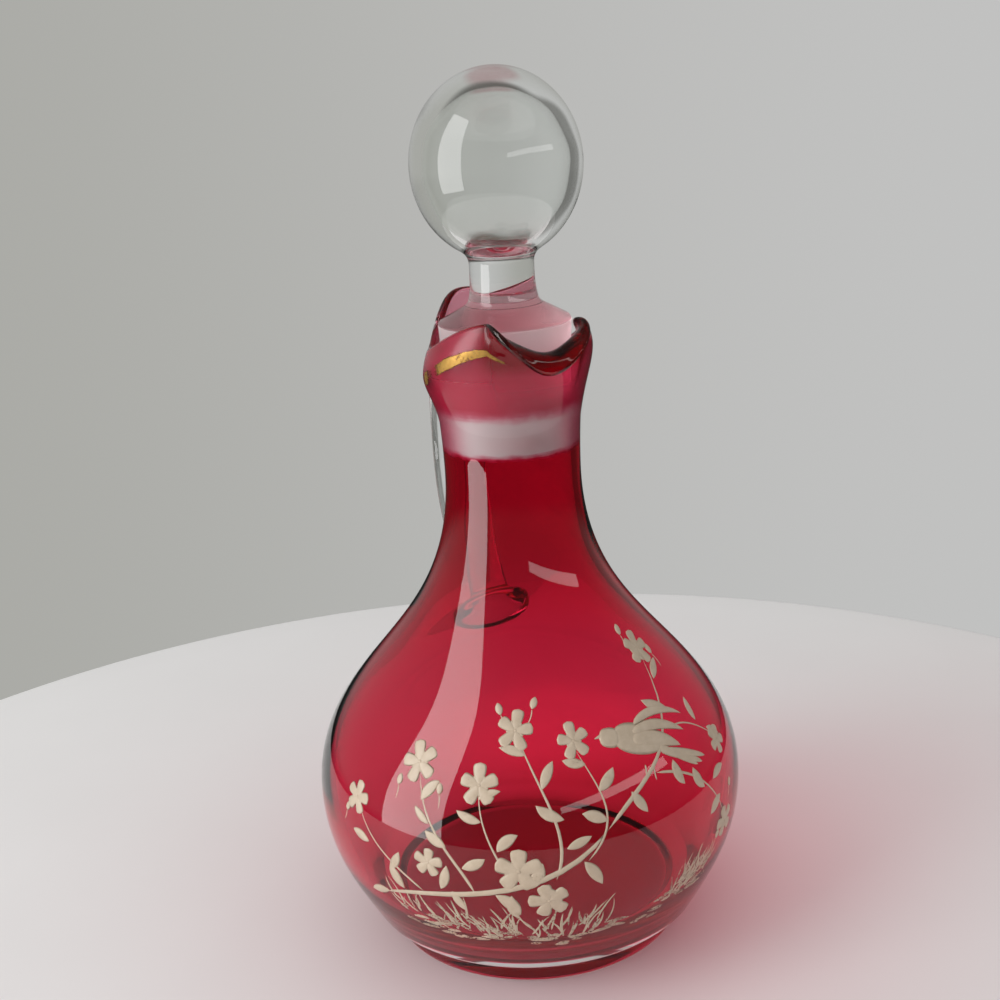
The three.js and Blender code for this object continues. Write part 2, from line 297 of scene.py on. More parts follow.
def dressed(piece, finish, node, body):
    """Gives a piece its finish. It stands for that node of the frame and rides on that body."""
    piece.data.materials.append(finish)
    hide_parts(node)
    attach(piece, body)


# Finishes
class Value:
    """A number that changes over a surface: the socket that gives it, with arithmetic written as on
    numbers."""

    def __init__(self, nodes, socket):
        self.nodes = nodes
        self.socket = socket

    def __add__(self, other):
        return self.nodes.maths("ADD", self, other)

    def __sub__(self, other):
        return self.nodes.maths("SUBTRACT", self, other)

    def __rsub__(self, other):
        return self.nodes.maths("SUBTRACT", other, self)

    def __mul__(self, other):
        return self.nodes.maths("MULTIPLY", self, other)

    def __gt__(self, other):
        return self.nodes.maths("GREATER_THAN", self, other)

    __radd__ = __add__
    __rmul__ = __mul__


class Nodes:
    """The nodes of a material or a world, written as expressions on values."""

    def __init__(self, tree):
        self.tree = tree
        tree.nodes.clear()

    def node(self, kind, settings=None, sockets=None, out=0):
        """Adds a node of that type: its settings first, then values or links for its sockets. Gives one of
        its outputs."""
        made = self.tree.nodes.new(kind)
        for name, setting in (settings or {}).items():
            setattr(made, name, setting)
        for name, given in (sockets or {}).items():
            if isinstance(given, Value):
                self.tree.links.new(given.socket, made.inputs[name])
            else:
                made.inputs[name].default_value = given
        return Value(self, made.outputs[out]) if made.outputs else made

    def maths(self, operation, *terms):
        return self.node("ShaderNodeMath", {"operation": operation}, dict(enumerate(terms)))

    def between(self, value, low, high, a=0.0, b=1.0):
        """Runs smoothly from a, where value is low or less, to b, where it is high or more."""
        return self.node(
            "ShaderNodeMapRange",
            {"interpolation_type": "SMOOTHSTEP"},
            {"Value": value, "From Min": low, "From Max": high, "To Min": a, "To Max": b},
        )

    def tint(self, share, a, b):
        """The colour at share of the way from a to b."""
        return self.node("ShaderNodeMix", {"data_type": "RGBA"}, {0: share, 6: a, 7: b}, 2)

    def ray(self, kind):
        """What Light Path says of the ray that looks, such as 1 for Is Shadow Ray."""
        return self.node("ShaderNodeLightPath", out=kind)


class Finish(Nodes):
    """A material."""

    def __init__(self, name):
        self.material = bpy.data.materials.new(name)
        self.material.use_nodes = True
        super().__init__(self.material.node_tree)

    def place(self):
        return self.node("ShaderNodeTexCoord", out="Object")

    def along(self, axis):
        """How far a point lies along X, Y or Z, in metres."""
        return self.node("ShaderNodeSeparateXYZ", {}, {0: self.place()}, out=axis)

    def height(self):
        """Height above the table, in millimetres."""
        return self.along("Z") * (1 / MM)

    def mark(self, name):
        return self.node("ShaderNodeAttribute", {"attribute_name": name}, out="Fac")

    def noise(self, size, detail=2.0, rough=0.5, stretch=(1, 1, 1)):
        """Cloudy noise whose lumps are about size millimetres across, from 0 to 1."""
        place = self.node("ShaderNodeMapping", {}, {"Vector": self.place(), "Scale": stretch})
        sockets = {"Vector": place, "Scale": 1 / MM / size, "Detail": detail, "Roughness": rough}
        return self.node("ShaderNodeTexNoise", {}, sockets)

    def bump(self, height, depth, strength=1.0):
        """A normal that follows a relief of depth millimetres."""
        sockets = {"Height": height, "Distance": depth * MM, "Strength": strength}
        return self.node("ShaderNodeBump", {}, sockets)

    def principled(self, **sockets):
        names = {name.replace("_", " "): given for name, given in sockets.items()}
        return self.node("ShaderNodeBsdfPrincipled", {}, names)

    def glass(self, colour, dull=0.0, **sockets):
        """Glass that takes a little light away at each face, by its colour."""
        return self.principled(Base_Color=colour, Roughness=dull, IOR=1.5, Transmission_Weight=1.0, **sockets)

    def film(self, colour=(1, 1, 1, 1)):
        """A film that bends no light and only colours it. A white one isn't there at all."""
        return self.node("ShaderNodeBsdfTransparent", {}, {"Color": colour})

    def mixed(self, share, first, second):
        return self.node("ShaderNodeMixShader", {}, {0: share, 1: first, 2: second})

    def clear_to_lamps(self, glass, tint):
        """Lets the light of the lamps through the glass, tinted, so that it casts a coloured shadow."""
        return self.mixed(self.ray("Is Shadow Ray"), glass, self.film(tint))

    def done(self, shader):
        self.node("ShaderNodeOutputMaterial", {}, {"Surface": shader})
        return self.material


def rgb(red, green, blue):
    return (red, green, blue, 1.0)


# The flask's lines
def mouth_at(turns):
    """The wave of the mouth at each turn. Away from the middle of the pouring lip the phase runs from 0 to
    1 on the crest, to 2 on the side dip and on to 3 over the handle, and the dip is (1 + cos(pi phase)) / 2
    to a power that sets how narrow it is. By the dip every value goes from the crest's, or the back's, to
    the lip's or the side's, only the tilt of the lip comes sooner."""
    spout, side = math.radians(spout_half), math.radians(side_dip)
    turns = turns - math.radians(spout_turn)
    away = np.abs(np.arctan2(np.sin(turns), np.cos(turns)))
    lip, back = away < spout, away > side
    phase = np.where(lip, away / spout, 1 + (away - spout) / (side - spout))
    phase = np.where(back, 2 + (away - side) / (math.pi - side), phase)
    power = np.where(lip, spout_power, np.where(back, back_power, side_power))
    dip = ((1 + np.cos(math.pi * phase)) / 2) ** power

    def wave(name, share):
        high = np.where(back, back_end[name], crest_end[name])
        return between(high, np.where(lip, spout_end[name], side_end[name]), share)

    place = np.stack([wave("reach", dip), wave("rise", dip) - mouth_lean * np.sin(turns)], -1)
    tilt = wave("tilt", np.where(lip, dip**roll_power, dip))
    return place, np.radians(wave("lean", dip)), np.radians(tilt), wave("pull", dip), wave("tail", dip)


def along_tilt(angle):
    """The direction that leans out from upright by that angle, as radius and height."""
    return np.stack([np.sin(angle), np.cos(angle)], -1)


def mouth_middle(turns):
    """The middle of the wall from the top of the ground seat to the edge of the mouth, and its normals: a
    cubic curve that leaves nearly straight up, then a bend of even curvature, run sin(h) / h along the
    middle of its angles for the half angle h turned so far, and a straight tail."""
    place, lean, tilt, pull, tail = mouth_at(turns)
    start = np.array([(neck_top + seat_top_radius) / 2, seat_top])
    place = start + place
    leave = wall_straight * (place[:, 1] - seat_top)
    wall, out = bezier(
        np.broadcast_to(start, place.shape),
        start + leave[:, None] * np.array([mouth_slope, 1]),
        place - pull[:, None] * along_tilt(lean),
        place,
        np.linspace(0, 1, mouth_steps),
    )
    share = np.linspace(0, 1, mouth_steps + 1)[1:]
    half = (tilt - lean)[:, None] * share / 2
    run = (roll_length * share * np.sinc(half / math.pi))[..., None]
    bend = place[:, None] + run * along_tilt(lean[:, None] + half)
    facing = lean[:, None] + 2 * half
    bend_out = np.stack([np.cos(facing), -np.sin(facing)], -1)
    last = bend[:, -1:] + tail[:, None, None] * along_tilt(tilt)[:, None] * np.array([[0.5], [1]])
    last_out = np.broadcast_to(bend_out[:, -1:], last.shape)
    return np.concatenate([wall, bend, last], 1), np.concatenate([out, bend_out, last_out], 1)


def shoulder_line(t):
    return bezier(
        (belly, belly_height),
        (belly, belly_height + full_above),
        (waist, waist_height - shoulder_pull),
        (waist, waist_height),
        t,
    )


def lower_line(t):
    return bezier(
        (body_edge, body_foot),
        (body_edge + body_lean, body_foot + body_lift),
        (belly, belly_height - full_below),
        (belly, belly_height),
        t,
    )


def outside_lines(turns):
    """The outside from the foot to the edge of the mouth, one line for each turn: the rounded foot, the
    step up to the body, the two curves of the body, the neck, and the mouth's middle line moved out by half
    the wall."""
    foot = softened(
        [
            (pole, 0),
            (foot_radius, 0),
            (foot_radius + foot_flare, foot_height),
            (between(foot_radius, body_edge, step_hollow), body_foot - step_height / 2),
            (body_edge, body_foot),
            tuple(lower_line([edge_share])[0][0]),
        ],
        [foot_edge, foot_top_edge, step_ease, body_edge_ease],
    )
    lower = lower_line(np.linspace(edge_share, 1, 26))[0]
    shoulder = shoulder_line(np.linspace(0, 1, shoulder_steps))[0]
    s = np.linspace(0, 1, 12)[1:-1]
    neck = np.stack([waist + neck_flare * s**2, waist_height + (seat_top - waist_height) * s], -1)
    fixed = np.concatenate([denser(foot, 5), lower[1:], shoulder[1:], neck])
    middle, normal = mouth_middle(turns)
    mouth = middle + normal * half_wall
    return np.concatenate([np.broadcast_to(fixed, (len(turns), *fixed.shape)), mouth], 1)


def edge_lines(turns, steps=9):
    """The rounded edge of the mouth: half a circle about the end of the middle line."""
    middle, normal = (part[:, -1:] for part in mouth_middle(turns))
    a = np.linspace(0, math.pi, steps + 2)[1:-1, None]
    ahead = np.stack([-normal[..., 1], normal[..., 0]], -1)
    return middle + half_wall * (normal * np.cos(a) + ahead * np.sin(a))


def blown_swell(turn, z):
    """How far the inside strays from round, in millimetres: a sum of slow waves of turn and height, which
    die out at the seat and the floor."""
    fade = eased((z - floor_height) / 25) * eased((seat_bottom - z) / 30)
    waves = np.sin(2 * turn + 0.05 * z + 1) + 0.7 * np.sin(3 * turn - 0.083 * z + 4)
    waves = waves + 0.4 * np.sin(5 * turn + 0.17 * z)
    return swell_depth * fade * waves


def inside_lines(turns):
    """The inside from the mouth's edge to the floor: the middle line moved in by half the wall, the tapered
    seat, the shoulder moved in by a wall that thickens downwards, and the curve to the floor."""
    middle, normal = mouth_middle(turns)
    mouth = (middle - normal * half_wall)[:, ::-1]
    s = np.linspace(0, 1, 8)[1:]
    seat = np.stack([between(seat_top_radius, seat_radius, s), between(seat_top, seat_bottom, s)], -1)
    t = np.linspace(1, 0, shoulder_steps)
    outer, out = shoulder_line(t)
    shoulder = outer - out * between(neck_wall, belly_wall, 1 - t)[:, None]
    lower = bezier(
        (belly - belly_wall, belly_height),
        (belly - belly_wall, belly_height - inner_full),
        (floor_radius + floor_ease, floor_height),
        (floor_radius, floor_height),
        np.linspace(0, 1, 30),
    )[0]
    floor = np.stack([np.linspace(floor_radius, pole, 9), np.full(9, floor_height)], -1)
    fixed = np.concatenate([seat, shoulder, lower[1:], floor[1:]])
    lines = np.repeat(fixed[None], len(turns), 0)
    lines[..., 0] += blown_swell(turns[:, None], fixed[:, 1])
    return np.concatenate([mouth, lines], 1)


# One line for each turn. Along the whole line, within goes from 0 on the outside over the edge to 1 inside.
around = evenly_round(around_flask)
outside, edge, inside = outside_lines(around), edge_lines(around), inside_lines(around)
over_edge = np.linspace(0, 1, edge.shape[1])
within = np.concatenate([np.zeros(outside.shape[1]), over_edge, np.ones(inside.shape[1])])[:, None]


def half_turns(degrees):
    """The same angles, from -180 to 180 degrees."""
    return np.mod(degrees + 180, 360) - 180


away_from_lip = np.abs(half_turns(np.degrees(around) - spout_turn))


# Handle
def outside_radius():
    """A function of turn and height that gives the radius of the outside of the vessel behind the neck,
    read off its lines at evenly spaced turns and heights."""
    turns = np.linspace(math.pi - 0.75, math.pi + 0.75, 61)
    heights = np.linspace(50, 172, 489)
    table = np.stack([np.interp(heights, line[:, 1], line[:, 0]) for line in outside_lines(turns)])

    def radius(turn, height):
        a = np.clip((turn - turns[0]) / (turns[1] - turns[0]), 0, len(turns) - 1.001)
        b = np.clip((height - heights[0]) / (heights[1] - heights[0]), 0, len(heights) - 1.001)
        i, j = a.astype(int), b.astype(int)
        low = between(table[i, j], table[i + 1, j], a - i)
        high = between(table[i, j + 1], table[i + 1, j + 1], a - i)
        return between(low, high, b - j)

    return radius


def pad_place():
    """The point of the shoulder line at the pad's height, and the normal there."""
    t = np.linspace(0, 1, 4001)
    at, normal = shoulder_line(t)
    i = np.searchsorted(at[:, 1], waist_height - pad_drop)
    return at[i], normal[i]


def strap_surface(u, angles):
    """The handle before it meets the vessel. The middle line is two cubic curves in a plane through the
    axis that turns a little as u goes from 0 to 1 and on to 2, and each section is an oval of changing
    width and thickness, which widens like exp(-(distance / flare)^3) into the pad's rounded border."""
    centre, normal = pad_place()
    out = waist + finger_gap + strap_thick / 2
    root, top = seat_top + root_rise, seat_top - leg_drop
    length = top - centre[1]

    def flat(u):
        arch = bezier(
            (seat_radius - strap_thick, root - root_dip),
            (seat_radius + arch_reach * finger_gap, root + arch_lift),
            (out, top + arch_full),
            (out, top),
            np.clip(u, 0, 1),
        )[0]
        leg = bezier(
            (out, top),
            (out, top - leg_full * length),
            centre + leg_run_in * length * normal,
            centre - strap_thick / 2 * normal,
            np.clip(u - 1, 0, 1),
        )[0]
        return np.where((u < 1)[:, None], arch, leg)

    def solid(u):
        radius, height = flat(u).T
        to_strap = between(root_turn, strap_turn, eased(u))
        turn = np.radians(to_strap + between(0, pad_turn - strap_turn, eased(u - 1)))
        return np.stack([radius * np.sin(turn), radius * np.cos(turn), height], -1)

    place = solid(u)
    ahead = unit(solid(np.minimum(u + 0.01, 2)) - solid(np.maximum(u - 0.01, 0)))
    side = unit(np.stack([place[:, 1], -place[:, 0], np.zeros(len(u))], -1))
    side = unit(side - ahead * (side * ahead).sum(1, keepdims=True))
    over = np.cross(ahead, side)
    a = math.radians(pad_turn)
    pad = np.array([centre[0] * math.sin(a), centre[0] * math.cos(a), centre[1]])
    away = np.linalg.norm(place - pad, axis=1)
    near = np.where(u > 1, np.exp(-((away / pad_flare) ** 3)), 0)
    near = np.where(np.arange(len(u)) >= np.argmin(away), 1, near)
    start = eased(1 - u)
    wide = strap_width + (root_width - strap_width) * start + (pad_width - strap_width) * near
    thick = strap_thick + (root_thick - strap_thick) * start + (pad_length - strap_thick) * near
    return (
        place[:, None]
        + side[:, None] * (wide / 2)[:, None, None] * np.cos(angles)[:, None]
        + over[:, None] * (thick / 2)[:, None, None] * np.sin(angles)[:, None]
    )


def handle_grid():
    """The strap between its two joints. Along each line of the strap the two places are found where it
    leaves the outside of the vessel and meets it again, and rows run between them. Both ends are closed by
    rings that lie on the vessel's outside. Also gives how far each row is fused with the vessel, and the
    two end rings."""
    radius = outside_radius()
    angles = -evenly_round(around_strap)
    u = np.concatenate([np.linspace(0, 1, 220), np.linspace(1, 2, 520)[1:]])
    skin = strap_surface(u, angles)
    clear = np.hypot(skin[..., 0], skin[..., 1]) - radius(turn_of(skin), skin[..., 2]) - weld_gap
    column = np.arange(around_strap)
    first = np.argmax(clear > 0, 0)
    last = len(u) - 1 - np.argmax(clear[::-1] > 0, 0)

    def crossing(i, k):
        here, there = clear[i, column], clear[k, column]
        return i + (k - i) * np.abs(here) / (np.abs(here) + np.abs(there))

    low, high = crossing(first, first - 1), crossing(last, last + 1)
    share = (1 - np.cos(np.linspace(0, math.pi, strap_rows))) / 2
    at = low + (high - low) * share[:, None]
    i = np.clip(at.astype(int), 0, len(u) - 2)
    part = (at - i)[..., None]
    body = skin[i, column] * (1 - part) + skin[i + 1, column] * part
    inwards = np.array([0.97, 0.85, 0.65, 0.45, 0.25, 0.1])[:, None]

    def cap(ring):
        turn = turn_of(ring)
        turn = between(turn.mean(), turn, inwards)
        z = between(ring[:, 2].mean(), ring[:, 2], inwards)
        return round_axis(radius(turn, z) + weld_gap, turn, z)

    rows = np.concatenate([cap(body[0])[::-1], body, cap(body[-1])])
    fused = np.ones(len(inwards))
    fused = np.concatenate([fused, [0.5], np.zeros(strap_rows - 2), [0.5], fused])
    return rows[:, ::-1], fused[:, None], (body[0], body[-1])


def inside_ring(grid, ring):
    """How far grid points on the outside of the vessel lie within a ring on it, in millimetres: the ring's
    radius in the direction of the point, seen from the ring's middle, less the point's own distance."""
    ring_turn = turn_of(ring)
    size = np.hypot(*ring[:, :2].T).mean()
    middle = np.array([ring_turn.mean(), ring[:, 2].mean()])
    x, y = (turn_of(grid) - middle[0]) * size, grid[..., 2] - middle[1]
    rx, ry = (ring_turn - middle[0]) * size, ring[:, 2] - middle[1]
    angle = np.arctan2(ry, rx)
    order = np.argsort(angle)
    reach = np.interp(np.arctan2(y, x), angle[order], np.hypot(rx, ry)[order], period=FULL_TURN)
    return reach - np.hypot(x, y)


# Glass. Each face of the lining lets through the fourth root of the colour that the whole flask has,
# because a look through it passes four such faces. The lining is thick in the neck and thin in the belly.
def each_face(*colour):
    return rgb(*(v**0.25 for v in colour))


RUBY_FACE = each_face(0.53, 0.0016, 0.017)
PINK_FACE = each_face(0.80, 0.026, 0.082)
DARK_FACE = each_face(0.20, 0.0002, 0.001)
ROSY_FACE = rgb(0.97, 0.70, 0.75)  # for the light of the lamps
CASING = rgb(0.955, 0.915, 0.915)
CASING_SHADOW = rgb(0.93, 0.92, 0.92)
CLEAR = rgb(0.96, 0.975, 0.96)
CLEAR_SHADOW = rgb(0.94, 0.945, 0.94)
MILK = rgb(0.80, 0.74, 0.73)
# pinkish: painted red light from the flask round the plug; ground clear glass itself is white-grey
PINK_LIT_GROUND_GLASS = rgb(0.80, 0.73, 0.72)
# painted reflection: the flask's red, seen through the clear stopper, put into its collar and the top of its
# ball
PAINTED_RED_COLLAR = rgb(0.78, 0.58, 0.585)
PAINTED_RED_CAP = rgb(0.64, 0.34, 0.36)
# painted shade in the foot of the ball's hollow
PAINTED_SHADE_POOL = rgb(0.08, 0.085, 0.065)
satin_dull = 0.28
ground_turn = 27  # where the seat is ground deepest, from the pouring lip towards -X
ruby_thin, ruby_thick = 66, 118  # heights between which the ruby changes from thin to thick
ruby_mouth, ruby_rim = 146, 156  # and between which it gets a little thinner again


def frosted(f, tint, white, dull=0.45):
    """Ground glass: dull glass that lights up white where light falls on it, with fine lines round the
    axis."""
    grain = f.bump(f.noise(0.35, 3.0, 0.6, (1, 1, 3)), 0.04, 0.7)
    chalky = f.principled(Base_Color=MILK, Roughness=0.6, Normal=grain)
    return f.mixed(white, f.glass(tint, dull, Normal=grain), chalky)


def grinding_lines(f):
    """Fine level lines and slow drifts, in millimetres up and down."""
    return (f.noise(6, 3.0, 0.6) - 0.5) * 2.5 + (f.noise(1.6, 3.0, 0.7, (0.12, 0.12, 2.2)) - 0.5) * 1.6


def casing_glass():
    """The thick outer glass, which is clear with a breath of pink. Inside, the ground seat runs on softly
    upwards wherever the stopper is near."""
    f = Finish("rosy casing glass")
    height = f.height() + grinding_lines(f)
    seat = f.between(height, seat_bottom - 1, seat_bottom + 0.3) * f.mark("rubbed")
    glass = f.glass(CASING, f.mark("satin") * satin_dull)
    glass = f.mixed(seat, glass, frosted(f, CASING, 0.45))
    glass = f.clear_to_lamps(glass, CASING_SHADOW)
    return f.done(f.mixed(f.mark("joined") > 0.25, glass, f.film()))


def lining_glass():
    """A thin layer of ruby glass under the inside of the casing, thinner where the glass is blown wide. It
    bends no light, so it is only a colour that light takes on. It is ground away on the seat for the
    stopper, most of all on the side of the pouring lip. The light of the lamps takes on less of it, as in
    the glow that it leaves on a table."""
    f = Finish("ruby lining")
    thin = f.between(f.height(), ruby_thin, ruby_thick, 1, 0)
    thin = thin + f.between(f.height(), ruby_mouth, ruby_rim, 0, 0.45)
    ruby = f.mixed(thin, f.film(RUBY_FACE), f.film(PINK_FACE))
    ruby = f.mixed(f.mark("lip"), ruby, f.film(DARK_FACE))
    ruby = f.mixed(f.mark("crest") * 0.45, ruby, f.film())
    height = f.height() + grinding_lines(f)
    away = f.between(height, seat_bottom - 0.6, seat_bottom + 1.6)
    away = away * f.between(height, seat_top + 1.6, seat_top + 6, 1.0, 0.0)
    turn = math.radians(ground_turn)
    side = f.along("X") * (-math.sin(turn) / MM) - f.along("Y") * (math.cos(turn) / MM)
    away = away * f.between(side, 3, 14, 0.4, 0.97)
    return f.done(f.mixed(away, f.mixed(f.ray("Is Shadow Ray"), ruby, f.film(ROSY_FACE)), f.film()))


def handle_glass():
    """Clear glass. Its ends are fused with other glass, so their faces can't be seen."""
    f = Finish("clear handle glass")
    glass = f.clear_to_lamps(f.glass(CLEAR), CLEAR_SHADOW)
    return f.done(f.mixed(f.mark("joined") > 0.75, glass, f.film()))


def ball_glass(foot):
    """Clear glass with painted shade: darker and greener in a pool over the foot of the hollow."""
    f = Finish("inside of the ball")
    colour = f.tint(f.between(f.height() + f.noise(9) * 4, foot + 3, foot + 6), PAINTED_SHADE_POOL, CLEAR)
    return f.done(f.clear_to_lamps(f.glass(colour), CLEAR_SHADOW))


def stopper_glass(top):
    """Clear glass whose plug is ground dull on the outside. The collar and the top of the ball have the
    flask's red painted into their colour: a painted reflection of the red seen through the glass."""
    f = Finish("clear glass with a ground plug")
    # painted reflection of the flask's red on the top of the ball and on the collar
    cap = f.between(f.height() + (f.noise(14, 1.0) - 0.5) * 3, top - 1.7, top - 0.3)
    colour = f.tint(f.between(f.height(), collar_level + 0.6, collar_level + 2.2), PAINTED_RED_COLLAR, CLEAR)
    glass = f.glass(f.tint(cap, colour, PAINTED_RED_CAP))
    # the plug's pink tint is painted red light from the flask around it
    glass = f.mixed(f.mark("ground"), glass, frosted(f, PINK_LIT_GROUND_GLASS, 0.25))
    return f.done(f.clear_to_lamps(glass, CLEAR_SHADOW))


# Flask
rubbed_top = 171  # height up to which the stopper has rubbed the inside of the mouth dull
rubbed_top_at_lip = 160  # and behind the pouring lip
far_from_joint = -50  # the mark of a point that is nowhere near the handle's joints


def rubbed_by_stopper(z):
    """1 where the stopper has rubbed the inside of the mouth dull, up to a height that is lower behind the
    pouring lip, and 0 elsewhere."""
    top = between(rubbed_top, rubbed_top_at_lip, eased((46 - away_from_lip) / 12))
    rubbed = (1 - eased((z - top + 9) / 9)) * (within > 0.9)
    return rubbed * (z > seat_bottom - 4)


def satin_lobe(z):
    """1 on the outside of the lobe on the lip's left, which has lost its shine."""
    turn = half_turns(np.degrees(around))
    return eased((z - 154) / 6) * eased((turn + 118) / 12) * eased((-30 - turn) / 8) * (within == 0)


def casing(rings):
    """The thick outer glass, from the foot over the edge of the mouth and down inside to the floor. Its
    marks say where it is rubbed, where it has lost its shine and how far in it is fused with the handle."""
    grid = turned(np.concatenate([outside, edge, inside], 1), around)
    joined = np.maximum(*(inside_ring(grid, ring) for ring in rings))
    joined = np.where(within > 0, far_from_joint, joined)
    marks = {"rubbed": rubbed_by_stopper(grid[..., 2]), "joined": joined, "satin": satin_lobe(grid[..., 2])}
    dressed(closed_skin("rosy_casing", grid, marks), casing_glass(), "vessel", "flask")


def lining(far=0.34, near=0.12):
    """The ruby layer, between two depths under the inside of the glass, from the far side of the mouth's
    edge to the floor: every point moved by the depth against the normal of its line. The mark lip is 1
    where the ruby is dark in the pouring lip, and crest where it is thin over the back of the mouth."""
    line = np.concatenate([edge[:, 1:], inside], 1)
    into_glass = right_of(np.gradient(line, axis=1))
    skins = np.concatenate([(line - far * into_glass)[:, ::-1], line - near * into_glass], 1)
    grid = turned(skins, around)
    z = grid[..., 2]
    lip = eased((50 - away_from_lip) / 16) * eased((z - 160) / 5)
    crest = eased((away_from_lip - 96) / 26) * eased((z - 156) / 8)
    skin = closed_skin("ruby_lining", grid, {"lip": lip, "crest": crest})
    dressed(skin, lining_glass(), "vessel", "flask")


strap, fused, rings = handle_grid()
casing(rings)
lining()
handle = closed_skin("clear_handle", strap, {"joined": fused})
dressed(handle, handle_glass(), "handle", "flask")


# Stopper
def stopper_lines():
    """Half the stopper's section as a line from the top of the plug's recess down, round the ground plug
    and up over its sloping collar, the stem with its fillets and the ball as half an ellipse. The second
    line is the closed hollow of the ball, which narrows towards the stem. The last array is 1 where the
    glass is ground."""
    bottom = seat_radius - joint_gap
    top = bottom + seat_taper * plug_length
    ball_foot = collar_level + stem_length
    foot_angle = math.asin(stem_radius / ball_radius)
    centre = ball_foot + ball_half * math.cos(foot_angle)
    a = np.linspace(foot_angle * 1.3, math.pi - near_axis, 70)
    ball = np.stack([ball_radius * np.sin(a), centre - ball_half * np.cos(a)], -1)
    recess = seat_bottom + plug_hollow
    corners = [
        ((0.4, recess), 0),
        ((between(throat, bottom - plug_wall, 0.6), recess), 3),
        ((bottom - plug_wall, seat_bottom), 0.5),
        ((bottom, seat_bottom), plug_edge),
        ((top, plug_top), plug_edge),
        ((collar_radius, collar_level), 0.4),
        ((between(stem_radius, collar_radius, 0.45), collar_level + 0.15 * stem_flare), 1.0),
        ((stem_radius, collar_level + stem_flare), 2.2),
        ((stem_radius, ball_foot - 0.4), stem_fillet),
        (tuple(ball[0]), 0),
    ]
    places, ease = zip(*corners)
    plug = denser(softened(places, ease[1:]), 1.2)
    ground = ((plug[:, 0] > bottom - 0.2) & (plug[:, 1] < plug_top - 0.3)).astype(float)
    a = np.linspace(near_axis, math.pi - near_axis, 90)
    high = between(ball_half - ball_wall, ball_half - ball_crown, eased((a - 1) / 1.6))
    cavity = np.stack([(ball_radius - ball_wall) * np.sin(a), centre - high * np.cos(a)], -1)
    return np.concatenate([plug, ball[1:]]), cavity, np.concatenate([ground, np.zeros(len(ball) - 1)])


def hollow_grid(cavity, turns):
    """The hollow of the ball, blown a little out of round: its radius has slow waves of turn and height
    added, which die out towards the axis."""
    radius, height = cavity[:, :1], cavity[:, 1:]
    wave = np.sin(3 * turns + 1) + 0.6 * np.sin(5 * turns + 2)
    drift = 0.07 * np.sin(height * 0.5 + 2 * np.sin(turns)) + 0.05 * wave
    grid = turned(cavity[None], turns)
    grid[..., :2] *= (1 + np.minimum(1, radius / 8) * drift / np.maximum(radius, 1))[..., None]
    return grid


def stopper():
    section, cavity, ground = stopper_lines()
    turns = evenly_round(around_stopper)
    skin = closed_skin("hollow_ball_stopper", turned(section[None], turns), {"ground": ground[:, None]})
    dressed(skin, stopper_glass(section[:, 1].max()), "stopper", "stopper")
    hollow = closed_skin("hollow_of_the_ball", hollow_grid(cavity, turns)[::-1])
    dressed(hollow, ball_glass(cavity[:, 1].min()), "stopper", "stopper")


stopper()


# Gilding and enamel
gilt_turns = [-112, -98, -74, -48, -34, -20]  # in degrees, from its end on the left to the pouring lip
gilt_middle = [7.6, 7.2, 6.4, 6.3, 6.5, 6.3]  # how far below the mouth's edge its middle lies there
gilt_half = [2.2, 2.1, 1.75, 1.35, 0.55, 0.12]  # and half its width
painted_from, painted_to = 12, 125  # heights between which a stroke of enamel can lie


def gilt_band(film=0.05, sunk=0.02):
    """What is left of the gilt line round the mouth, between two distances from the edge down the outside.
    It is widest on the left lobe and runs out towards the pouring lip. It is a film with a small thickness.
    Also gives how far each point lies across the band, from -1 to 1, and its turn in degrees."""
    turns = np.radians(np.linspace(gilt_turns[0], gilt_turns[-1], 150))
    degrees = np.degrees(turns)
    middle = np.interp(degrees, gilt_turns, gilt_middle)
    half = np.interp(degrees, gilt_turns, gilt_half)
    across = np.linspace(-1, 1, 9)
    down = middle[:, None] + half[:, None] * across
    lines = outside_lines(turns)[:, ::-1]
    flat = np.array([on_line(line, run_along(line)[1], distances) for line, distances in zip(lines, down)])
    into_glass = right_of(np.gradient(flat, axis=1))
    ring = np.concatenate([flat - film * into_glass, (flat + sunk * into_glass)[:, ::-1]], 1)
    grid = round_axis(ring[..., 0], turns[:, None], ring[..., 1])
    return grid, np.concatenate([across, across[::-1]]), degrees[:, None]


def gilding():
    """Old gold leaf, bright where it is whole, worn through to bare glass in specks and gone towards its
    ends."""
    f = Finish("worn gilding")
    fine, coarse = f.noise(0.55, 4.0, 0.7), f.noise(3.5, 3.0, 0.6)
    turn, across = f.mark("turn"), f.mark("across")
    rubbed = f.between(turn, -112, -92, 0.30, 0.05) + f.between(turn, -36, -22, 0.0, 0.36)
    rubbed = rubbed + f.between(turn, -97, -91, 0.0, 0.20) - f.between(turn, -84, -74, 0.0, 0.20)
    rubbed = rubbed + f.between(across * across, 0.35, 1.0, 0.0, 0.16)
    leaf = fine * 0.55 + coarse * 0.45 - rubbed
    gold = f.tint(f.noise(1.4, 3.0), rgb(0.33, 0.16, 0.03), rgb(0.62, 0.38, 0.10))
    gold = f.tint(f.between(leaf, 0.34, 0.40, 1, 0), gold, rgb(0.12, 0.045, 0.012))
    left = f.between(leaf, 0.29, 0.36)
    relief = f.bump(coarse + fine, 0.05)
    return f.done(f.principled(Base_Color=gold, Metallic=0.75, Roughness=0.42, Alpha=left, Normal=relief))


def gilt_line():
    grid, across, degrees = gilt_band()
    skin = closed_skin("gilt_line", grid, {"across": across, "turn": degrees})
    dressed(skin, gilding(), "vessel", "flask")


body_line = outside[0][(outside[0][:, 1] > painted_from) & (outside[0][:, 1] < painted_to)]
body_out = right_of(np.gradient(body_line, axis=0))


def on_body(height):
    """The outside of the body at these heights: its radius, and the radius and height parts of its
    normal."""
    return (np.interp(height, body_line[:, 1], values) for values in (body_line[:, 0], *body_out.T))


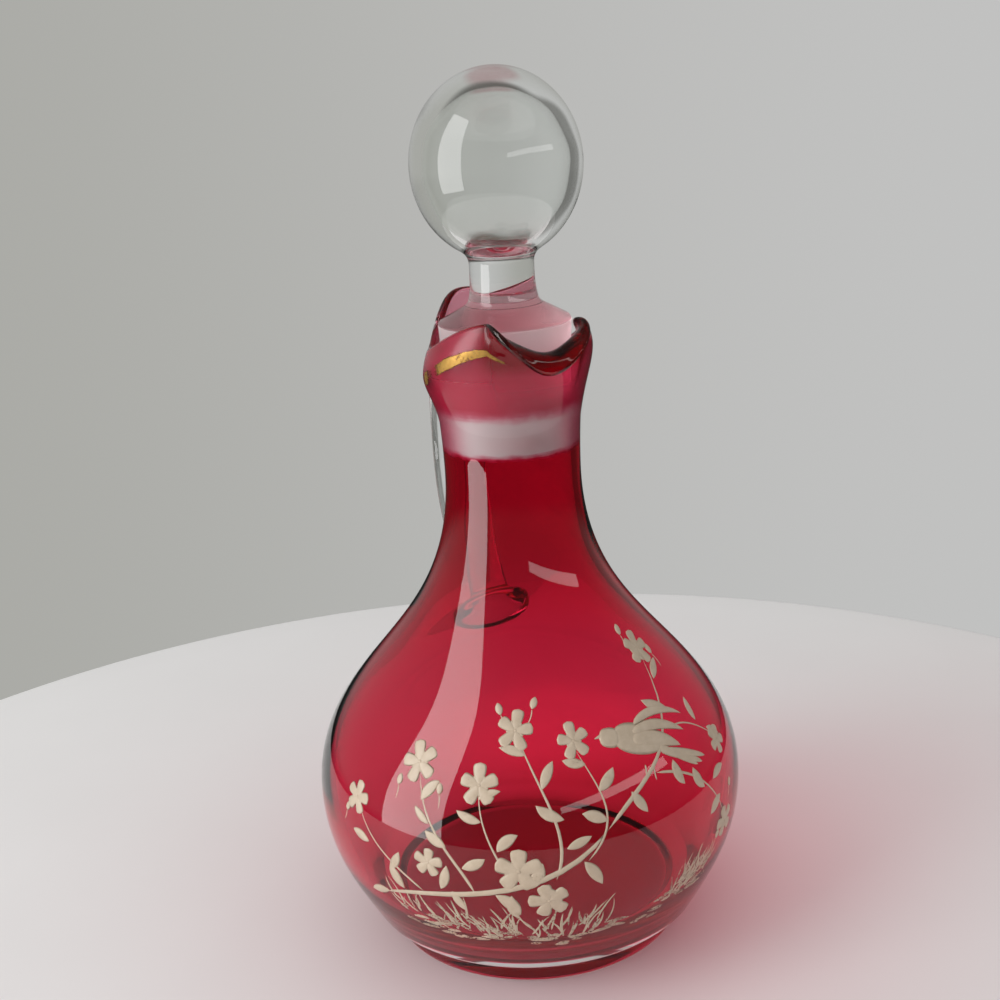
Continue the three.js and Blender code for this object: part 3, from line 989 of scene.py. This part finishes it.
def strokes_skin(name, strokes, rows=15, columns=8):
    """One mesh of brush strokes of raised enamel. A stroke is given by the four control points of a cubic
    curve, as turn in degrees and height, its width at the start, in the middle and at the end, its
    thickness and how dry the brush was. Its section is half a lens, and its ends are rounded by (1 - |2t -
    1|^6)^0.5."""
    data = np.array(strokes, float)
    controls, thick, dry = data[:, :8], data[:, 11], data[:, 12]
    first, mid, last = data[:, 8:11].T[..., None]
    t = np.linspace(0, 1, rows)
    at, along = cubic(*np.moveaxis(controls.reshape(-1, 4, 2), 1, 0), t)
    radius, out_r, out_z = on_body(at[..., 1])
    along = np.stack([np.radians(along[..., 0]) * radius, along[..., 1] / out_r], -1)
    along /= np.linalg.norm(along, axis=-1, keepdims=True) + 1e-9
    width = (1 - t) ** 2 * first + 2 * t * (1 - t) * (2 * mid - (first + last) / 2) + t**2 * last
    width = np.maximum(width, 0.1) * np.sqrt(1.002 - np.abs(2 * t - 1) ** 6)
    angle = np.linspace(math.pi, -math.pi, columns, endpoint=False)
    lift = np.where(np.sin(angle) > 0, np.sin(angle), 0.25 * np.sin(angle))
    shift = width[..., None] / 2 * np.cos(angle)
    turn = np.radians(at[..., 0])[..., None] + shift * along[..., 1:] / radius[..., None]
    height = at[..., 1, None] - shift * along[..., :1] * out_r[..., None]
    radius, out_r, out_z = on_body(height)
    raised = thick[:, None, None] * np.minimum(1, width[..., None] / 1.2) * lift
    grid = round_axis(radius + raised * out_r, turn, height + raised * out_z)
    ends = np.stack([grid[:, 0].mean(1), grid[:, -1].mean(1)], 1)
    points = np.concatenate([grid.reshape(len(grid), -1, 3), ends], 1)
    first_point = points.shape[1] * np.arange(len(points))[:, None, None]
    quads, fans = (faces + first_point for faces in ring_faces(rows, columns))
    marks = {"dry": np.repeat(dry, points.shape[1])}
    return new_piece(name, points.reshape(-1, 3), quads.reshape(-1, 4), fans.reshape(-1, 3), marks)


def curve(*corners, width=(1, 1, 1), thick=0.16, dry=0.0):
    """A stroke whose control points are given as turn in degrees and height."""
    return [*(n for corner in corners for n in corner), *width, thick, dry]


def straight(turn, height, angle, length, width, bow=0.0, thick=0.16, dry=0.0):
    """A stroke that starts at one point and runs length millimetres at an angle from level, bowed to one
    side."""
    radius, *_ = on_body(height)
    a = math.radians(angle)

    def point(share, aside):
        x = length * (share * math.cos(a) - aside * math.sin(a))
        y = length * (share * math.sin(a) + aside * math.cos(a))
        return (turn + math.degrees(x / float(radius)), height + y * 0.93)

    corners = (point(0, 0), point(0.33, bow), point(0.67, bow), point(1, 0))
    return curve(*corners, width=width, thick=thick, dry=dry)


def blossom(turn, height, size, spin=0.0, petals=5):
    """Petals that widen outwards round a raised eye, with short stamens between them."""
    petal = (0.25 * size, 0.62 * size, 0.7 * size)
    steps = [360 * n / petals for n in range(petals)]
    half_steps = [360 * (n + 0.5) / petals for n in range(petals)]
    made = [straight(turn, height, spin + step, size, petal, 0, 0.2, 0.15) for step in steps]
    made += [straight(turn, height, spin + step, 0.5 * size, (0.2, 0.3, 0.7), 0, 0.34) for step in half_steps]
    eye = straight(turn - 0.08 * size, height, 0, 0.16 * size, (0.2 * size,) * 3, 0, 0.42)
    return [*made, eye]


def branches():
    """A branch that climbs from the lower left to the upper right, and its twigs."""
    return [
        curve((-70, 31), (-50, 40), (-27, 35), (-8, 53), width=(0.9, 1.7, 1.3)),
        curve((-8, 53), (6, 65), (16, 62), (29, 84), width=(1.35, 1.0, 0.35)),
        curve((-42, 38), (-46, 48), (-54, 52), (-59, 66), width=(1.0, 0.7, 0.3)),
        curve((-22, 42), (-17, 54), (-24, 64), (-31, 76), width=(1.0, 0.7, 0.3)),
        curve((9, 62), (20, 60), (27, 55), (33, 40), width=(0.9, 0.6, 0.25)),
        curve((-56, 36), (-64, 42), (-71, 44), (-78, 54), width=(0.8, 0.5, 0.25)),
        curve((-32, 39), (-35, 48), (-41, 55), (-41, 65), width=(0.7, 0.5, 0.25)),
        curve((20, 69), (27, 70), (33, 66), (38, 61), width=(0.6, 0.4, 0.25)),
        curve((-14, 46), (-4, 55), (-8, 62), (-13, 71), width=(0.7, 0.5, 0.25)),
    ]


def foliage(rng):
    """Leaves, each a wide stroke with a thin rib on it, given by turn, height, angle and length."""
    leaves = [(-62, 35, 118, 8), (-51, 38, 75, 8), (-48, 38, -62, 7), (-37, 38, -48, 9), (-28, 40, 68, 8)]
    leaves += [(-25, 40, -60, 8), (-15, 46, -60, 9), (-45, 45, 28, 7), (-49, 50, 150, 7), (-57, 60, 50, 7)]
    leaves += [(-54, 55, 140, 6), (-19, 50, 20, 7), (-19, 57, 150, 8), (-24, 64, 60, 7), (-28, 71, 165, 7)]
    leaves += [(0, 60, -62, 7), (22, 59, -70, 7), (29, 53, 10, 7), (31, 48, -150, 7), (-9, 62, 40, 7)]
    leaves += [(24, 73, 150, 8), (27, 79, 30, 7), (29, 83, 110, 6), (-66, 40, 60, 7), (-73, 45, 170, 7)]
    leaves += [(-36, 50, 40, 7), (-40, 57, 160, 7), (33, 67, 75, 6), (36, 64, -40, 6), (-68, 32, 200, 8)]
    leaves += [(-11, 68, 165, 6), (-8, 55, 155, 7), (-41, 62, 20, 6), (16, 63, -80, 7), (-33, 38, -80, 8)]
    made = []
    for turn, height, angle, length in leaves:
        bow = rng.uniform(-0.14, 0.14)
        width = (0.5, length * rng.uniform(0.34, 0.44), 0.25)
        made.append(straight(turn, height, angle, length, width, bow, 0.17, rng.uniform(0.1, 0.6)))
        made.append(straight(turn, height, angle, length * 0.8, (0.25, 0.35, 0.15), bow, 0.3))
    return made


def blossoms():
    """Open blossoms, given by turn, height, size and the angle of the first petal."""
    places = [(-41, 65, 5.0, 20), (-31, 76, 4.6, 5), (-60, 68, 5.0, 40), (-79, 55, 4.6, 10)]
    places += [(33, 39, 4.8, 30), (30, 86, 4.4, 0), (-31, 45, 6.2, 15), (38, 60, 4.0, 50)]
    places += [(-24, 36, 5.4, 33), (-54, 45, 4.2, 12), (-13, 73, 4.2, 25)]
    return [stroke for place in places for stroke in blossom(*place)]


def buds(rng):
    """Closed buds on short stalks, given by turn and height."""
    places = [(-65, 62), (-52, 62), (-25, 80), (-36, 79), (25, 90), (36, 83), (37, 47), (28, 36), (-83, 50)]
    made = []
    for turn, height in places:
        angle = rng.uniform(60, 120)
        made.append(straight(turn, height, angle, 2.8, (0.5, 1.9, 0.4), 0, 0.3))
        made.append(straight(turn, height, angle + 180, 3.4, (0.3, 0.3, 0.2), 0.1, 0.14, 0.2))
    return made


def bird():
    """A bird perched on the branch and looking left: body, head, bill, wing, tail and legs."""
    return [
        straight(14.5, 66.5, 158, 15, (3.4, 8.2, 4.6), -0.1, 0.24, 0.1),
        straight(1.5, 71.5, 168, 5.4, (4.6, 5.2, 3.6), 0, 0.28, 0.05),
        straight(-3.5, 72.8, 188, 2.4, (1.3, 0.8, 0.2), 0, 0.26),
        straight(5, 70, -22, 15, (3.4, 4.4, 0.7), 0.13, 0.42, 0.1),
        straight(6, 71.5, -16, 17, (2.2, 3.0, 0.5), 0.16, 0.46, 0.1),
        straight(8, 73, -10, 17, (1.6, 2.4, 0.4), 0.18, 0.4, 0.2),
        straight(13, 66.5, -34, 15, (2.4, 2.3, 1.1), 0.02, 0.22, 0.15),
        straight(13, 66, -26, 16, (2.0, 2.1, 1.0), 0.04, 0.26, 0.15),
        straight(13, 67.5, -42, 14, (1.6, 1.9, 0.9), 0.0, 0.2, 0.15),
        straight(6.5, 64.5, -108, 4, (0.6, 0.45, 0.35), 0.05, 0.2),
        straight(9, 63.8, -98, 3.6, (0.6, 0.45, 0.35), -0.05, 0.2),
    ]


def ground(turn):
    """How much higher the ground under the branch is at a turn than at its lowest: 0.0028 (turn + 24)^2."""
    return 0.0028 * (turn + 24) ** 2


def grass(rng, blades=120, dabs=60):
    """Blades of grass and dabs of ground under the branch, painted with a dry brush."""
    made = []
    for n in range(blades):
        turn = rng.uniform(-66, -9) if n % 3 else rng.uniform(9, 24)
        height = 23 + ground(turn) + rng.uniform(-1, 4)
        width = (rng.uniform(0.4, 0.9), rng.uniform(0.4, 0.8), 0.12)
        angle = 90 - (turn + 22) * 0.6 + rng.uniform(-38, 38)
        length, bow, dry = rng.uniform(4, 10), rng.uniform(-0.15, 0.15), rng.uniform(0.6, 1.2)
        made.append(straight(turn, height, angle, length, width, bow, 0.13, dry))
    for _ in range(dabs):
        turn = rng.uniform(-66, 26)
        height = 21 + ground(turn) + rng.uniform(-1.5, 4.5)
        length, angle, dry = rng.uniform(2, 7), rng.uniform(-12, 12), rng.uniform(0.8, 1.3)
        made.append(straight(turn, height, angle, length, (0.5, 1.2, 0.4), 0.05, 0.12, dry))
    return made


def enamel():
    """Cream enamel, a little shiny, thin and broken where the brush was dry."""
    f = Finish("cream enamel")
    fine, coarse = f.noise(0.45, 4.0, 0.7), f.noise(2.2, 3.0, 0.6)
    cover = f.between(fine - f.mark("dry") * 0.22 + (coarse - 0.5) * 0.25, 0.20, 0.27)
    colour = f.tint(coarse, rgb(0.40, 0.31, 0.22), rgb(0.56, 0.46, 0.35))
    return f.done(f.principled(Base_Color=colour, Roughness=0.38, Alpha=cover, Normal=f.bump(fine, 0.06)))


def enamel_spray():
    """The painting on the body: a bird on a blossoming branch, with grass below it."""
    rng = np.random.default_rng(5)
    strokes = branches() + foliage(rng) + blossoms() + buds(rng) + bird() + grass(rng)
    dressed(strokes_skin("enamel_spray", strokes), enamel(), "vessel", "flask")


gilt_line()
enamel_spray()

# Table, light and camera
photo_turn = math.radians(27)  # from the camera's line of sight to the pouring lip
camera_place = (0, -366.6, 238.65)  # across, along and above the line of sight
camera_down = 17.559  # how far it looks down, in degrees
camera_aside = -0.615  # past the neck's axis
camera_lean = -3.369
lens = 51.3
sensor_width = 36
table_place = (-5, -54, 0)  # the middle of the table
painted_glow_place = (20, 8, 0)  # where the painted pool of rosy light on the table is strongest
painted_glow_reach = 55  # the distance at which it has lost two thirds of its strength


def from_view(x, y, z):
    """A point given across, along and above the camera's line of sight, in the model's own axes, in
    metres."""
    c, s = math.cos(photo_turn), math.sin(photo_turn)
    return ((x * c + y * s) * MM, (-x * s + y * c) * MM, z * MM)


def table_finish():
    """White with faint clouds, and a painted pool of the rosy light that the ruby glass spreads on it, put
    into the colour and falling off like exp(-distance / reach) from a point beside the foot."""
    f = Finish("white table")
    colour = f.tint(f.noise(60, 3.0), rgb(0.76, 0.755, 0.745), rgb(0.80, 0.795, 0.785))
    # painted light: a pool of rosy light in the table's base colour, strongest beside the foot
    ends = {0: f.place(), 1: from_view(*painted_glow_place)}
    away = f.node("ShaderNodeVectorMath", {"operation": "DISTANCE"}, ends, "Value")
    glow = f.maths("EXPONENT", away * (-1 / (painted_glow_reach * MM)))
    return f.done(f.principled(Base_Color=f.tint(glow, colour, rgb(0.95, 0.31, 0.37)), Roughness=0.5))


def table(radius=300, thickness=24, gap=0.05, round_edge=6):
    """A round table top with a rounded edge, as a line turned round its own axis, a gap below the foot."""
    rim = softened([(radius, -thickness), (radius, -gap), (2, -gap)], [round_edge], 12)
    line = np.concatenate([[(2, -thickness)], denser(rim, 12)])
    centre = np.array(from_view(*table_place)) / MM
    made = closed_skin("table_top", turned(line[None], evenly_round(180)) + centre)
    made.data.materials.append(table_finish())


def hung(name, light, power, colour):
    """A light in the scene that isn't seen by the camera, nor through glass."""
    light.energy, light.color = power, colour
    made = bpy.data.objects.new(name, light)
    made.visible_camera = made.visible_transmission = False
    bpy.context.scene.collection.objects.link(made)
    return made


def window(name, middle, facing, width, height, power):
    """A soft rectangular lamp at one point, facing another. Both are given along the camera's line of
    sight. It is mirrored by the glass, but isn't seen through it."""
    light = bpy.data.lights.new(name, "AREA")
    light.shape, light.size, light.size_y = "RECTANGLE", width * MM, height * MM
    start, end = np.array(from_view(*middle)), np.array(from_view(*facing))
    back = unit(start - end)
    across = unit(np.cross((0, 0, 1), back))
    axes = np.eye(4)
    axes[:3] = np.stack([across, np.cross(back, across), back, start], 1)
    hung(name, light, power, (1, 1, 1)).matrix_world = axes.T


def bright_pool(name, middle, half_angle, power, colour):
    """A soft spot that shines straight down on the table, for the light that a glass gathers behind it."""
    light = bpy.data.lights.new(name, "SPOT")
    light.spot_size, light.spot_blend, light.shadow_soft_size = math.radians(2 * half_angle), 1.0, 0.02
    made = hung(name, light, power, colour)
    made.location = from_view(*middle)
    made.visible_glossy = False


def surroundings():
    """A pale backdrop where it is seen or seen through, a dim room where it is mirrored, and even light on
    what is dull. What glass has mirrored and then let through shows the room on the near side and the
    backdrop on the far side, and is darker on the right and overhead."""
    world = bpy.data.worlds.new("studio")
    bpy.context.scene.world = world
    world.use_nodes = True
    f = Nodes(world.node_tree)
    passed = f.ray("Is Transmission Ray")
    mirrored = f.ray("Glossy Depth") > 0.5
    by_glass = f.maths("MAXIMUM", f.ray("Is Glossy Ray"), passed)
    seen = f.maths("MAXIMUM", f.ray("Is Camera Ray"), by_glass)
    place = f.node("ShaderNodeTexCoord", out="Generated")

    def towards(x, y, z):
        """1 in this direction, given along the camera's line of sight, 0 at right angles to it and -1
        behind."""
        axis = from_view(x / MM, y / MM, z / MM)
        return f.node("ShaderNodeVectorMath", {"operation": "DOT_PRODUCT"}, {0: place, 1: axis}, "Value")

    backdrop = f.between(towards(1, 0, 0), -0.45, 0.35)
    backdrop = f.tint(backdrop, rgb(0.40, 0.40, 0.375), rgb(0.535, 0.535, 0.53))
    room = f.between(towards(-0.6, 0.8, 0), -0.7, 0.7)
    room = f.tint(room, rgb(0.10, 0.098, 0.095), rgb(0.35, 0.35, 0.34))
    room = f.tint(f.between(towards(0, 0, 1), -0.22, -0.08), rgb(0.03, 0.029, 0.028), room)
    beyond = f.tint(f.between(towards(0, 1, 0), -0.35, 0.1), room, backdrop)
    beyond = f.tint(f.between(towards(1, 0, 0), 0.3, 0.5), beyond, rgb(0.19, 0.19, 0.18))
    overhead = f.between(towards(0, 0, 1), 0.55, 0.75)
    colour = f.tint(seen, rgb(0.6, 0.6, 0.6), backdrop)
    colour = f.tint(by_glass * mirrored * (1 - passed), colour, room)
    colour = f.tint(passed * mirrored, colour, beyond)
    colour = f.tint(passed * overhead, colour, rgb(0.11, 0.11, 0.10))
    f.node("ShaderNodeOutputWorld", {}, {"Surface": f.node("ShaderNodeBackground", {}, {"Color": colour})})


def camera():
    """The camera of the photograph: 51.3 mm on a 36 mm sensor, on the pouring lip's left, looking down by
    17.6 degrees and leaning a little."""
    data = bpy.data.cameras.new("view")
    data.lens, data.sensor_width = lens, sensor_width
    data.clip_start, data.clip_end = 0.01, 20
    down, aside, lean = math.radians(camera_down), math.radians(camera_aside), math.radians(camera_lean)
    ahead = np.array([math.sin(aside) * math.cos(down), math.cos(aside) * math.cos(down), -math.sin(down)])
    right = np.array([math.cos(aside), -math.sin(aside), 0])
    up = np.cross(right, ahead)
    right, up = (
        math.cos(lean) * right + math.sin(lean) * up,
        -math.sin(lean) * right + math.cos(lean) * up,
    )
    axes = np.eye(4)
    for column, axis in enumerate((right, up, -ahead)):
        axes[:3, column] = np.array(from_view(*axis)) / MM
    axes[:3, 3] = from_view(*camera_place)
    made = bpy.data.objects.new("view", data)
    made.matrix_world = axes.T
    bpy.context.scene.collection.objects.link(made)
    bpy.context.scene.camera = made


table()
window("tall_window", (-891, -454, 572), facing=(0, 0, 572), width=630, height=1565, power=14.3)
window("far_window", (890, -800, 490), facing=(0, 0, 490), width=1560, height=120, power=1.6)
bright_pool("glow_behind", (12, 98, 260), half_angle=11.5, power=0.75, colour=(1, 0.48, 0.54))
surroundings()
camera()

scene = bpy.context.scene
scene.view_settings.view_transform = "Standard"
scene.cycles.max_bounces = 28
scene.cycles.transmission_bounces = 28
scene.cycles.glossy_bounces = 12
scene.cycles.transparent_max_bounces = 48
scene.cycles.caustics_refractive = False
scene.cycles.caustics_reflective = False
